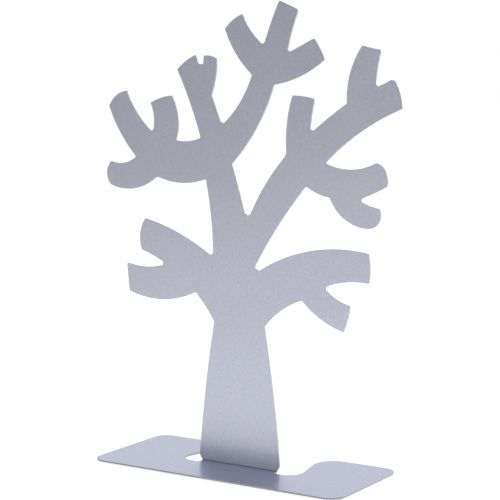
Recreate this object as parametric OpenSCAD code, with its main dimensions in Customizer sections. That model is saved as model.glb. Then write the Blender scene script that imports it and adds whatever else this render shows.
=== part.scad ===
// Photo tree stand: a tree and its base plate cut from one steel sheet, folded square at the trunk's foot.
// X runs to the right, Y to the rear and Z up. The origin is on the table, under the front face of the
// tree, at the middle of its trunk.

/* [Sheet] */
// Thickness of the steel sheet with its coat
sheet_t = 1.1; // [0.8:0.1:1.5]
// Radius on the inside of the fold
fold_r = 0.4; // [0.3:0.1:1.6]

/* [Base plate] */
// Width of the plate
base_w = 186; // [176:1:210]
// Length of the plate in front of the tree
base_front = 36.5; // [30:0.5:60]
// Length of the plate behind the front face of the tree
base_rear = 45.5; // [42:0.5:60]
// Radius of the plate's outer corners
base_corner_r = 10; // [2:0.5:16]

/* [Notch behind the trunk] */
// Width of the neck that the fold runs across
neck_w = 57.4; // [50:0.2:58]
// Depth of the bend relief in front of the tree's face
relief_depth = 4.6; // [3.6:0.2:8]
// Width of the notch at its foot, where its edges would meet
notch_foot_w = 93; // [86:1:96]
// Width of the notch at the rear edge, where its edges would meet
notch_mouth_w = 71; // [64:1:76]
// Radius of the two corners at the foot of the notch
notch_foot_r = 10; // [5:0.5:10.5]
// Radius of the two corners at the rear edge
notch_mouth_r = 14; // [6:0.5:16]
// Radius where the relief meets the neck
neck_corner_r = 1.4; // [0.5:0.1:1.6]

/* [Trunk] */
// Width of the trunk at its foot
trunk_foot_w = 61.2; // [59:0.2:63]
// Width of the trunk under the lowest limbs
trunk_top_w = 38.4; // [36:0.2:42]
// Height of the trunk's narrowest place above the table
trunk_top_h = 95; // [92:0.5:97]
// How far each side of the trunk bows out
trunk_bow = 1.1; // [0:0.1:3]
// Height over which each lower corner of the trunk curves in to the neck
trunk_corner_h = 4.2; // [3:0.1:8]

/* [Crown] */
// Width of the crown between its outermost corners
crown_w = 217.6; // [200:0.2:232]
// Height of the crown above the trunk's narrowest place
crown_h = 204.4; // [190:0.2:220]

/* [Limb corners] */
// Radius of a sharp inner corner
sharp_r = 0.2; // [0.1:0.1:0.4]
// Radius of a crisp outer corner
crisp_r = 0.6; // [0.2:0.1:0.8]
// Radius of an ordinary limb tip
tip_r = 1; // [0.3:0.1:1.2]
// Radius of a blunt limb tip
blunt_r = 1.4; // [0.5:0.1:1.8]
// Radius of a narrow crotch between two limbs
crotch_r = 1.6; // [0.8:0.1:1.8]
// Radius of a wide crotch between two limbs
wide_crotch_r = 2.2; // [1:0.1:2.4]
// Radius of the corners of a round lobe
lobe_r = 3; // [1:0.1:3.4]
// Radius under the blunt finger of the upper right limb
soft_r = 5; // [2:0.5:6]

/* [Pads] */
// Diameter of each pad under the plate
pad_d = 10; // [6:0.5:14]
// Thickness of each pad
pad_t = 1; // [0.8:0.1:2]
// Distance from the plate's edges to the middle of a pad
pad_inset = 14; // [12:0.5:18]

/* [Hidden] */
$fn = 64;

// Largest distance between a curve of an outline and the straight pieces that draw it
curve_gap = 0.03;

plate_top = pad_t + sheet_t;
fold_top = plate_top + fold_r;
corner_run = (trunk_foot_w - neck_w) / 2;
corner_bow = norm([corner_run, trunk_corner_h]) / 2 * tan(atan(corner_run / trunk_corner_h) / 2);
pad_x = base_w / 2 - pad_inset;
pad_front_y = pad_inset - base_front;
pad_rear_y = base_rear - pad_inset;

steel_color = [0.68, 0.69, 0.74];
pad_color = [0.16, 0.16, 0.17];

// Every outline below is a list of corners [across, up, corner radius, bow of the edge that follows].
// The lists run clockwise. A bow above zero swells the edge out of the metal, one below zero hollows it.
// In the lists of the limbs, up is the height above the trunk's narrowest place.

// Lowest limb on the left, with a lower and an upper finger
low_left_limb = [
    [-33.8, 18, tip_r, 5.4],
    [-87, 15, crisp_r, 0],
    [-89, 34, tip_r, -2.5],
    [-57, 35, crotch_r, -0.5],
    [-76.6, 43.2, tip_r, 2.9],
    [-73.6, 64.3, tip_r, 2.7],
    [-19.9, 41.4, wide_crotch_r, -1.4]
];

// Middle limb on the left: a round lobe, a long finger and a short one
middle_left_limb = [
    [-25.4, 92, tip_r, 3.5],
    [-63.8, 92.4, lobe_r, 5.2],
    [-101.6, 85.4, lobe_r, 3.5],
    [-101.5, 101.2, crisp_r, -2.6],
    [-80.8, 104.8, crisp_r, 2],
    [-102.6, 137.8, blunt_r, 2.5],
    [-87.8, 148, tip_r, -2.4],
    [-67.3, 121, wide_crotch_r, -2.1],
    [-68.8, 140.3, tip_r, 0.9],
    [-51.9, 145.2, tip_r, 3.7],
    [-48.5, 116.4, crisp_r, -1.3],
    [-29.2, 118.4, tip_r, -1]
];

// Upper limb on the left, its end split by a small slot
split_limb = [
    [-47.2, 162.1, crisp_r, 0.8],
    [-33, 171.4, tip_r, 0],
    [-30.6, 165.4, crisp_r, 0],
    [-27, 165.4, crisp_r, 0],
    [-26.6, 170.8, tip_r, 0.9],
    [-16.4, 168.6, blunt_r, 1.1],
    [-20.7, 146, tip_r, 0.2],
    [-13.1, 126.8, wide_crotch_r, -2.8]
];

// Top limb, with three fingers
top_limb = [
    [9.7, 158.8, tip_r, 2.2],
    [-10.4, 187.4, tip_r, 1.2],
    [2.7, 196.6, tip_r, -1.9],
    [18.4, 176.8, wide_crotch_r, 0.5],
    [29.6, 204.4, tip_r, 0],
    [43.5, 198.4, blunt_r, -0.9],
    [35.3, 171.9, crotch_r, 0],
    [54.3, 181, tip_r, 0.5],
    [62.2, 168.2, tip_r, 2.6],
    [25.9, 152.6, crisp_r, 3.5],
    [-5.2, 102.6, tip_r, 0.4],
    [6, 65.7, wide_crotch_r, 2.3]
];

// Upper limb on the right: a blunt finger, a tall one and a round one
upper_right_limb = [
    [35, 109.4, soft_r, 1.9],
    [39.2, 146.2, tip_r, 0.5],
    [55.3, 144.2, blunt_r, -0.6],
    [52, 123, crotch_r, 0.4],
    [77.6, 141.8, sharp_r, 3.2],
    [87.8, 176.5, tip_r, -0.3],
    [100.9, 173.9, blunt_r, -1],
    [97.4, 151.6, crotch_r, -0.3],
    [108.6, 156.9, lobe_r, 1.8],
    [115, 139, tip_r, -3.1],
    [62.8, 105.1, tip_r, -3.9]
];

// Middle limb on the right, with two round lobes
middle_right_limb = [
    [98, 106.4, tip_r, 3.5],
    [105.3, 92.3, tip_r, 0.4],
    [85.8, 83.6, crotch_r, -0.8],
    [100.6, 78.9, tip_r, 3.6],
    [94, 66.4, lobe_r, 5.2],
    [66, 84, sharp_r, 1],
    [49.1, 90.4, tip_r, -2],
    [7.6, 30.2, wide_crotch_r, 9.1]
];

// Lowest limb on the right, with a long finger and a short one
low_right_limb = [
    [93.6, 51.1, blunt_r, 0.8],
    [93.9, 32.8, tip_r, -2.1],
    [62.2, 28.2, wide_crotch_r, -1.8],
    [81.2, 18.1, tip_r, 0.5],
    [76.3, 1.4, crisp_r, 2.3],
    [46.4, 18.8, tip_r, -2.3]
];

// All corners of the crown, and the bow of the edge that leads up to it from the trunk's left side
root_bow = -0.7;
crown_corners = concat(
    low_left_limb,
    middle_left_limb,
    split_limb,
    top_limb,
    upper_right_limb,
    middle_right_limb,
    low_right_limb
);
across = [for (corner = crown_corners) corner[0]];
up = [for (corner = crown_corners) corner[1]];

// How much the named width and height widen and raise the crown as it is listed
widen = crown_w / (max(across) - min(across));
raise = crown_h / max(up);
swell = sqrt(widen * raise);

tree_outline = concat(
    [
        [-neck_w / 2, fold_top, 0, corner_bow],
        [-trunk_foot_w / 2, fold_top + trunk_corner_h, 0, trunk_bow],
        [-trunk_top_w / 2, trunk_top_h, tip_r, root_bow * swell]
    ],
    [for (corner = crown_corners)
        [corner[0] * widen, trunk_top_h + corner[1] * raise, corner[2], corner[3] * swell]],
    [
        [trunk_top_w / 2, trunk_top_h, tip_r, trunk_bow],
        [trunk_foot_w / 2, fold_top + trunk_corner_h, 0, corner_bow],
        [neck_w / 2, fold_top, 0, 0]
    ]
);

// Notch in the plate and the neck inside it, seen from above: across and to the rear
notch_outline = [
    [-notch_mouth_w / 2, base_rear, notch_mouth_r, 0],
    [-notch_foot_w / 2, -relief_depth, notch_foot_r, 0],
    [-neck_w / 2, -relief_depth, neck_corner_r, 0],
    [-neck_w / 2, -fold_r, 0, 0],
    [neck_w / 2, -fold_r, 0, 0],
    [neck_w / 2, -relief_depth, neck_corner_r, 0],
    [notch_foot_w / 2, -relief_depth, notch_foot_r, 0],
    [notch_mouth_w / 2, base_rear, notch_mouth_r, 0]
];

// Base plate, seen from above
plate_outline = concat(
    [[-base_w / 2, -base_front, base_corner_r, 0], [-base_w / 2, base_rear, base_corner_r, 0]],
    notch_outline,
    [[base_w / 2, base_rear, base_corner_r, 0], [base_w / 2, -base_front, base_corner_r, 0]]
);

function place(corner) = [corner[0], corner[1]];
function wrap(angle) = angle - 360 * round(angle / 360);
function chord(a, b) = place(b) - place(a);
function bearing(a, b) = atan2(chord(a, b)[1], chord(a, b)[0]);

// Half the turn of the arc from corner a to corner b
function half_turn(a, b) = 2 * atan(2 * a[3] / norm(chord(a, b)));
function arc_length(a, b) = let (turn = half_turn(a, b))
    norm(chord(a, b)) * (turn == 0 ? 1 : turn * PI / 180 / sin(turn));

// Direction of travel and position at share u of the arc from a to b
function heading(a, b, u) = bearing(a, b) + half_turn(a, b) * (1 - 2 * u);
function on_arc(a, b, u) =
    let (
        turn = half_turn(a, b),
        reach = norm(chord(a, b)) * (turn == 0 ? u : sin(turn * u) / sin(turn)),
        way = bearing(a, b) + turn * (1 - u)
    )
    place(a) + reach * [cos(way), sin(way)];

// Length that the rounding takes from both edges at corner b, between a and c
function setback(a, b, c) = b[2] * tan(abs(wrap(heading(b, c, 0) - heading(a, b, 1))) / 2);

// Smooth curve from point p with heading hp to point q with heading hq, without its ends
function blend(p, hp, q, hq, r) =
    let (
        turn = abs(wrap(hq - hp)),
        arm = 4 / 3 * tan(turn / 4) * r,
        s = p + arm * [cos(hp), sin(hp)],
        t = q - arm * [cos(hq), sin(hq)],
        steps = ceil(turn / 2 / acos(1 - curve_gap / r))
    )
    [for (k = [1 : 1 : steps - 1]) let (u = k / steps, v = 1 - u)
        v * v * v * p + 3 * v * v * u * s + 3 * v * u * u * t + u * u * u * q];

// Points of the edge from b to c with the rounding at c, where a and d are the corners next to them
function edge_points(a, b, c, d) =
    let (
        start = setback(a, b, c) / arc_length(b, c),
        stop = 1 - setback(b, c, d) / arc_length(b, c),
        steps = max(1, ceil((stop - start) * sqrt(abs(b[3]) / curve_gap))),
        away = setback(b, c, d) / arc_length(c, d)
    )
    concat(
        [for (k = [0 : 1 : steps]) if (k < steps || c[2] > 0) on_arc(b, c, start + (stop - start) * k / steps)],
        c[2] > 0 ? blend(on_arc(b, c, stop), heading(b, c, stop), on_arc(c, d, away), heading(c, d, away), c[2]) : []
    );

function outline_points(corners) =
    let (n = len(corners))
    [for (i = [0 : n - 1])
        each edge_points(corners[(i + n - 1) % n], corners[i], corners[(i + 1) % n], corners[(i + 2) % n])];

// Upright tree
module tree_panel() {
    translate([0, sheet_t, 0])
        rotate([90, 0, 0])
            linear_extrude(sheet_t)
                polygon(outline_points(tree_outline));
}

// Plate that stands on the table
module base_plate() {
    translate([0, 0, pad_t])
        linear_extrude(sheet_t)
            polygon(outline_points(plate_outline));
}

// Quarter round of the fold, across the neck
module fold() {
    translate([-neck_w / 2, -fold_r, fold_top])
        rotate([90, 0, 90])
            linear_extrude(neck_w)
                intersection() {
                    difference() {
                        circle(fold_r + sheet_t);
                        circle(fold_r);
                    }
                    translate([0, -fold_r - sheet_t])
                        square(fold_r + sheet_t);
                }
}

// The folded sheet, one piece
module tree_sheet() {
    color(steel_color)
        union() {
            tree_panel();
            fold();
            base_plate();
        }
}

// Round stick-on pad under the plate
module pad(x, y) {
    color(pad_color)
        translate([x, y, 0])
            cylinder(h = pad_t, d = pad_d);
}

tree_sheet();
pad(-pad_x, pad_front_y);  // pad_front_left
pad(pad_x, pad_front_y);  // pad_front_right
pad(-pad_x, pad_rear_y);  // pad_rear_left
pad(pad_x, pad_rear_y);  // pad_rear_right
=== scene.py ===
"""Photo tree stand: finish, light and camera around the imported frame.

Lengths are in metres, in the part's own frame: X to the right, Y to the rear, Z up from the table.
"""

import math

import bpy
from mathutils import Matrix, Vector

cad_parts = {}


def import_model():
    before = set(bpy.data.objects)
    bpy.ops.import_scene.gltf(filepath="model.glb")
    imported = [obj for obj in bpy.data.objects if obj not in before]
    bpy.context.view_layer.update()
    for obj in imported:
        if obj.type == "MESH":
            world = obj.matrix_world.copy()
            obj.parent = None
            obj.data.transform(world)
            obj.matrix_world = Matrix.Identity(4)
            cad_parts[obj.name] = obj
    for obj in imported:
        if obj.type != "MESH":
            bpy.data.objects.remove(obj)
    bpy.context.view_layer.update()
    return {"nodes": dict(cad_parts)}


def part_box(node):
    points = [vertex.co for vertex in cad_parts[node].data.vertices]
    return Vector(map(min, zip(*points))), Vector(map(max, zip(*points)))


MM = 0.001
WHITE = (1.0, 1.0, 1.0)

# Camera of the photograph
CAMERA_PLACE = (0.5374, -0.8347, 0.2605)
CAMERA_TURN_DEG = 32.365
CAMERA_DIP_DEG = 6.765
CAMERA_LENS_MM = 112.92
SENSOR_MM = 36.0

# Steel sheet
SHEET_T = 1.1 * MM
SHEET_ARRIS = 0.14 * MM

# Procedural noise is spread from its usual low and high value over the whole range of what it drives
NOISE_SPAN = (0.3, 0.7)

# Silver coat on the steel, with a clear layer over it
COAT_COLOR = (0.50, 0.513, 0.60)
COAT_SHADE = 0.88
COAT_METALLIC = 1.0
COAT_ROUGHNESS = (0.35, 0.40)
COAT_EDGE_TINT = (0.82, 0.85, 1.0)
CLEAR_WEIGHT = 0.6
CLEAR_ROUGHNESS = 0.12
CLOUD_SIZE = 70 * MM
CLOUD_TONE = 0.2
MOTTLE_SIZE = 1.8 * MM
MOTTLE_TONE = 0.55
GRAIN_SIZE = 0.5 * MM
GRAIN_TONE = 0.25
GRAIN_ROUGHNESS = (-0.02, 0.02)
FLAKE_SIZE = 0.3 * MM
FLAKE_TILT = 0.02
PEEL_SIZE = 2.4 * MM
PEEL_DEPTH = 0.008 * MM

# Cut edges of the sheet: painted shade makes the plate's edges by the floor darker, and lines of the cut
# show through the coat
PAINTED_PLATE_EDGE_SHADE = 0.6
EDGE_EXTRA_ROUGHNESS = 0.10
CUT_LINE_SIZE = 0.35 * MM
CUT_LINE_STRETCH = 0.05
CUT_LINE_DEPTH = 0.012 * MM

# Painted shade: a dark line along the inside of the fold
CREASE_REACH = (0.35 * MM, 0.9 * MM)
CREASE_HALF_LENGTH = 28.7 * MM
PAINTED_CREASE_SHADE = 0.5

# Rubber of the pads
PAD_COLOR = (0.020, 0.020, 0.022)
PAD_SHADES = (0.7, 1.5)
PAD_ROUGHNESS = (0.6, 0.8)
PAD_GRAIN_SIZE = 0.35 * MM
PAD_GRAIN_DEPTH = 0.02 * MM
PAD_ARRIS = 0.25 * MM

# Modifiers: what they join, flatten, shade smooth and round
WELD_GAP = 0.001 * MM
FLAT_DEG = 0.5
SMOOTH_DEG = 44
SHARP_DEG = 60
ARRIS_SEGMENTS = 3

# Room as the metal sees it: an even level, and soft lights on its walls.
# Each light: degrees from the rear towards +X, degrees above the floor, half its spread in degrees, level
ROOM_LEVEL = 0.2
ROOM_LIGHTS = {
    "rear_left": (325, 20, 70, 0.78),
    "rear_right": (36, 6, 38, 3.0),
    "front_right": (143, 12, 74, 0.5),
    "front": (203, 35, 40, 0.6),
}

# Lamp over the floor
LAMP_PLACE = (0.5, -0.3, 1.6)
LAMP_TARGET = (0.2, -0.2, 0.0)
LAMP_SIZE = 1.5
LAMP_WATTS = 28.0

# White floor: its own colour, and the glow that lifts it towards the white of the background
FLOOR_SIZE = 12.0
FLOOR_COLOR = 0.9
FLOOR_GLOW_LEVEL = 1.35
FLOOR_GLOW_SEEN = 0.62
FLOOR_GLOW_MIRRORED = 0.08


class Graph:
    """Adds nodes to an emptied node tree. An input is a number, a colour or another node's output."""

    def __init__(self, tree):
        self.tree = tree
        tree.nodes.clear()

    def add(self, kind, inputs=(), **settings):
        node = self.tree.nodes.new("ShaderNode" + kind)
        for name, value in settings.items():
            setattr(node, name, value)
        for name, value in dict(inputs).items():
            if isinstance(value, bpy.types.NodeSocket):
                self.tree.links.new(value, node.inputs[name])
            else:
                node.inputs[name].default_value = value
        return node

    def math(self, operation, *values, clamp=False):
        return self.add("Math", enumerate(values), operation=operation, use_clamp=clamp).outputs[0]

    def vector(self, operation, *values):
        return self.add("VectorMath", enumerate(values), operation=operation).outputs[0]

    def remap(self, value, low, high, to_low, to_high, shape="LINEAR"):
        inputs = {"Value": value, "From Min": low, "From Max": high, "To Min": to_low, "To Max": to_high}
        return self.add("MapRange", inputs, interpolation_type=shape).outputs["Result"]

    def spread(self, noise, to_low, to_high):
        return self.remap(noise, *NOISE_SPAN, to_low, to_high)

    def noise(self, place, size, detail=2.0, roughness=0.5):
        inputs = {"Vector": place, "Scale": 1 / size, "Detail": detail, "Roughness": roughness}
        return self.add("TexNoise", inputs).outputs["Fac"]

    def blend(self, share, a, b, mode="MIX"):
        node = self.add("Mix", data_type="RGBA", blend_type=mode)
        for index, value in ((0, share), (6, a), (7, b)):
            if isinstance(value, bpy.types.NodeSocket):
                self.tree.links.new(value, node.inputs[index])
            else:
                node.inputs[index].default_value = value
        return node.outputs[2]

    def bump(self, height, depth, normal=None):
        inputs = {"Height": height, "Distance": depth, "Strength": 1.0}
        if normal:
            inputs["Normal"] = normal
        return self.add("Bump", inputs).outputs["Normal"]


def rgba(color, factor=1.0):
    return (*[channel * factor for channel in color], 1.0)


def new_graph(name):
    material = bpy.data.materials.new(name)
    material.use_nodes = True
    return material, Graph(material.node_tree)


def sheet_zones(graph, place):
    """Share of cut edge, share of upright sheet and share of painted crease shade at a place on the
    folded sheet.
    """
    plate_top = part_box("tree_sheet")[0].z + SHEET_T
    spot = graph.add("SeparateXYZ", {"Vector": place}).outputs
    facing = graph.add("SeparateXYZ", {"Vector": graph.add("NewGeometry").outputs["True Normal"]}).outputs
    upright = graph.math("GREATER_THAN", spot["Z"], plate_top + 0.5 * SHEET_T)
    flat = graph.math("SUBTRACT", 1.0, upright)
    square_on = graph.math("ADD", graph.math("MULTIPLY", graph.math("ABSOLUTE", facing["Y"]), upright),
                           graph.math("MULTIPLY", graph.math("ABSOLUTE", facing["Z"]), flat))
    edge = graph.math("LESS_THAN", square_on, 0.5)
    rise = graph.math("SUBTRACT", spot["Z"], plate_top)
    away = graph.math("SQRT", graph.math("ADD", graph.math("MULTIPLY", rise, rise),
                                         graph.math("MULTIPLY", spot["Y"], spot["Y"])))
    # Mask of the painted shade: close to the inside line of the fold, and only along the neck
    on_neck = graph.math("LESS_THAN", graph.math("ABSOLUTE", spot["X"]), CREASE_HALF_LENGTH)
    painted_crease = graph.math("MULTIPLY", graph.remap(away, *CREASE_REACH, 1.0, 0.0, "SMOOTHSTEP"), on_neck)
    return edge, upright, painted_crease


def coated_steel():
    """Satin silver coat with metal flakes under a slightly wavy surface; painted shade darkens the inside
    of the fold and the plate's cut edges.
    """
    material, graph = new_graph("silver_coat")
    place = graph.add("TexCoord").outputs["Object"]
    edge, upright, painted_crease = sheet_zones(graph, place)
    clouds = graph.noise(place, CLOUD_SIZE, 3.0)
    mottle = graph.noise(place, MOTTLE_SIZE, 2.0)
    grain = graph.noise(place, GRAIN_SIZE, 2.0, 0.6)
    peel = graph.noise(place, PEEL_SIZE, 1.0)
    flakes = graph.add("TexVoronoi", {"Vector": place, "Scale": 1 / FLAKE_SIZE}).outputs["Color"]
    across_plate = (1.0, 1.0, CUT_LINE_STRETCH, 1.0)
    across_tree = (1.0, CUT_LINE_STRETCH, 1.0, 1.0)
    stretch = graph.blend(upright, across_plate, across_tree)
    cut_lines = graph.noise(graph.vector("MULTIPLY", place, stretch), CUT_LINE_SIZE, 1.0)

    tone = graph.spread(mottle, 0.0, MOTTLE_TONE)
    tone = graph.math("ADD", tone, graph.spread(grain, 0.0, GRAIN_TONE))
    tone = graph.math("ADD", tone, graph.spread(clouds, 0.0, CLOUD_TONE), clamp=True)
    color = graph.blend(tone, rgba(COAT_COLOR, COAT_SHADE), rgba(COAT_COLOR, 2 - COAT_SHADE))
    # Painted shade: the plate's cut edges, low by the floor, are darkened
    plate_edge_painted_shade = graph.math("SUBTRACT", edge, upright, clamp=True)
    color = graph.blend(plate_edge_painted_shade, color, rgba(WHITE, PAINTED_PLATE_EDGE_SHADE), "MULTIPLY")
    # Painted shade: the coat is darkened along the inside of the fold
    color = graph.blend(painted_crease, color, rgba(COAT_COLOR, PAINTED_CREASE_SHADE))

    roughness = graph.spread(clouds, *COAT_ROUGHNESS)
    roughness = graph.math("ADD", roughness, graph.spread(grain, *GRAIN_ROUGHNESS))
    roughness = graph.math("ADD", roughness, graph.math("MULTIPLY", edge, EDGE_EXTRA_ROUGHNESS))

    normal = graph.bump(peel, PEEL_DEPTH)
    normal = graph.bump(graph.math("MULTIPLY", cut_lines, edge), CUT_LINE_DEPTH, normal)
    tilt = graph.vector("SUBTRACT", flakes, (0.5, 0.5, 0.5))
    tilt = graph.vector("MULTIPLY", tilt, (FLAKE_TILT, FLAKE_TILT, FLAKE_TILT))
    normal = graph.vector("NORMALIZE", graph.vector("ADD", normal, tilt))

    inputs = {"Base Color": color, "Roughness": roughness, "Normal": normal, "Metallic": COAT_METALLIC,
              "Specular Tint": rgba(COAT_EDGE_TINT), "Coat Weight": CLEAR_WEIGHT,
              "Coat Roughness": CLEAR_ROUGHNESS}
    shader = graph.add("BsdfPrincipled", inputs)
    graph.add("OutputMaterial", {"Surface": shader.outputs["BSDF"]})
    return material


def pad_rubber():
    """Matt black rubber with a fine moulded grain."""
    material, graph = new_graph("pad_rubber")
    place = graph.add("TexCoord").outputs["Object"]
    grain = graph.noise(place, PAD_GRAIN_SIZE, 3.0, 0.6)
    dark, light = PAD_SHADES
    color = graph.blend(graph.spread(grain, 0.0, 1.0), rgba(PAD_COLOR, dark), rgba(PAD_COLOR, light))
    roughness = graph.spread(grain, *PAD_ROUGHNESS)
    inputs = {"Base Color": color, "Roughness": roughness, "Normal": graph.bump(grain, PAD_GRAIN_DEPTH)}
    shader = graph.add("BsdfPrincipled", inputs)
    graph.add("OutputMaterial", {"Surface": shader.outputs["BSDF"]})
    return material


def smooth_group():
    """Geometry nodes that shade smooth across edges flatter than the sheet's arrises."""
    group = bpy.data.node_groups.new("smooth_by_angle", "GeometryNodeTree")
    socket = "NodeSocketGeometry"
    group.interface.new_socket("Geometry", in_out="INPUT", socket_type=socket)
    group.interface.new_socket("Geometry", in_out="OUTPUT", socket_type=socket)
    nodes, links = group.nodes, group.links
    entry = nodes.new("NodeGroupInput")
    leave = nodes.new("NodeGroupOutput")
    smooth_faces = nodes.new("GeometryNodeSetShadeSmooth")
    smooth_edges = nodes.new("GeometryNodeSetShadeSmooth")
    smooth_edges.domain = "EDGE"
    angle = nodes.new("GeometryNodeInputMeshEdgeAngle")
    flat_enough = nodes.new("FunctionNodeCompare")
    flat_enough.operation = "LESS_EQUAL"
    flat_enough.inputs["B"].default_value = math.radians(SMOOTH_DEG)
    links.new(entry.outputs[0], smooth_faces.inputs["Geometry"])
    links.new(smooth_faces.outputs[0], smooth_edges.inputs["Geometry"])
    links.new(angle.outputs["Unsigned Angle"], flat_enough.inputs["A"])
    links.new(flat_enough.outputs[0], smooth_edges.inputs["Shade Smooth"])
    links.new(smooth_edges.outputs[0], leave.inputs[0])
    return group


def finish_node(node, material, arris, smooth):
    """Gives a CAD node its material and rounds its sharp edges with modifiers."""
    node.material_slots[0].material = material
    weld = node.modifiers.new("weld", "WELD")
    weld.merge_threshold = WELD_GAP
    planar = node.modifiers.new("planar", "DECIMATE")
    planar.decimate_type = "DISSOLVE"
    planar.angle_limit = math.radians(FLAT_DEG)
    shading = node.modifiers.new("shading", "NODES")
    shading.node_group = smooth
    rounding = node.modifiers.new("rounding", "BEVEL")
    rounding.width = arris
    rounding.segments = ARRIS_SEGMENTS
    rounding.limit_method = "ANGLE"
    rounding.angle_limit = math.radians(SHARP_DEG)
    rounding.harden_normals = True


def add_floor():
    """White floor that keeps the object's shadow, and glows for the camera and a little for the metal."""
    bpy.ops.mesh.primitive_plane_add(size=FLOOR_SIZE)
    floor = bpy.context.object
    floor.name = "floor"
    material, graph = new_graph("floor_white")
    rays = graph.add("LightPath").outputs
    mirrored = graph.math("MAXIMUM", rays["Is Glossy Ray"], rays["Is Transmission Ray"])
    share = graph.math("MAXIMUM", graph.math("MULTIPLY", rays["Is Camera Ray"], FLOOR_GLOW_SEEN),
                       graph.math("MULTIPLY", mirrored, FLOOR_GLOW_MIRRORED))
    matt = graph.add("BsdfDiffuse", {"Color": rgba(WHITE, FLOOR_COLOR)})
    glow = graph.add("Emission", {"Color": rgba(WHITE), "Strength": FLOOR_GLOW_LEVEL})
    mixed = graph.add("MixShader", {0: share, 1: matt.outputs[0], 2: glow.outputs[0]})
    graph.add("OutputMaterial", {"Surface": mixed.outputs[0]})
    floor.data.materials.append(material)


def add_room():
    """World: white to the camera, and to everything else a plain room with soft lights on its walls."""
    world = bpy.data.worlds.new("room")
    bpy.context.scene.world = world
    world.use_nodes = True
    graph = Graph(world.node_tree)
    direction = graph.add("TexCoord").outputs["Generated"]
    level = ROOM_LEVEL
    for turn_deg, rise_deg, spread_deg, strength in ROOM_LIGHTS.values():
        turn, rise = math.radians(turn_deg), math.radians(rise_deg)
        centre = (math.sin(turn) * math.cos(rise), math.cos(turn) * math.cos(rise), math.sin(rise))
        dot = graph.add("VectorMath", {0: direction, 1: centre}, operation="DOT_PRODUCT")
        facing = dot.outputs["Value"]
        glow = graph.remap(facing, math.cos(math.radians(spread_deg)), 1.0, 0.0, strength, "SMOOTHSTEP")
        level = graph.math("ADD", level, glow)
    level = graph.math("MAXIMUM", level, graph.add("LightPath").outputs["Is Camera Ray"])
    background = graph.add("Background", {"Color": rgba(WHITE), "Strength": level})
    graph.add("OutputWorld", {"Surface": background.outputs[0]})


def add_lamp():
    """Soft square lamp that lights the floor and isn't mirrored as a bright square in the metal."""
    data = bpy.data.lights.new("overhead", "AREA")
    data.shape = "SQUARE"
    data.size = LAMP_SIZE
    data.energy = LAMP_WATTS
    lamp = bpy.data.objects.new("overhead", data)
    bpy.context.scene.collection.objects.link(lamp)
    lamp.location = LAMP_PLACE
    aim = Vector(LAMP_TARGET) - Vector(LAMP_PLACE)
    lamp.rotation_euler = aim.to_track_quat("-Z", "Y").to_euler()
    lamp.visible_glossy = False


def add_camera():
    """Camera of the photograph."""
    data = bpy.data.cameras.new("photo_camera")
    data.sensor_width = SENSOR_MM
    data.lens = CAMERA_LENS_MM
    camera = bpy.data.objects.new("photo_camera", data)
    bpy.context.scene.collection.objects.link(camera)
    camera.location = CAMERA_PLACE
    camera.rotation_euler = (math.radians(90 - CAMERA_DIP_DEG), 0, math.radians(CAMERA_TURN_DEG))
    bpy.context.scene.camera = camera


def main():
    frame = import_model()
    smooth = smooth_group()
    steel = coated_steel()
    rubber = pad_rubber()
    for name, node in frame["nodes"].items():
        if name == "tree_sheet":
            finish_node(node, steel, SHEET_ARRIS, smooth)
        else:
            finish_node(node, rubber, PAD_ARRIS, smooth)
    add_floor()
    add_room()
    add_lamp()
    add_camera()
    bpy.context.scene.view_settings.view_transform = "Standard"


main()
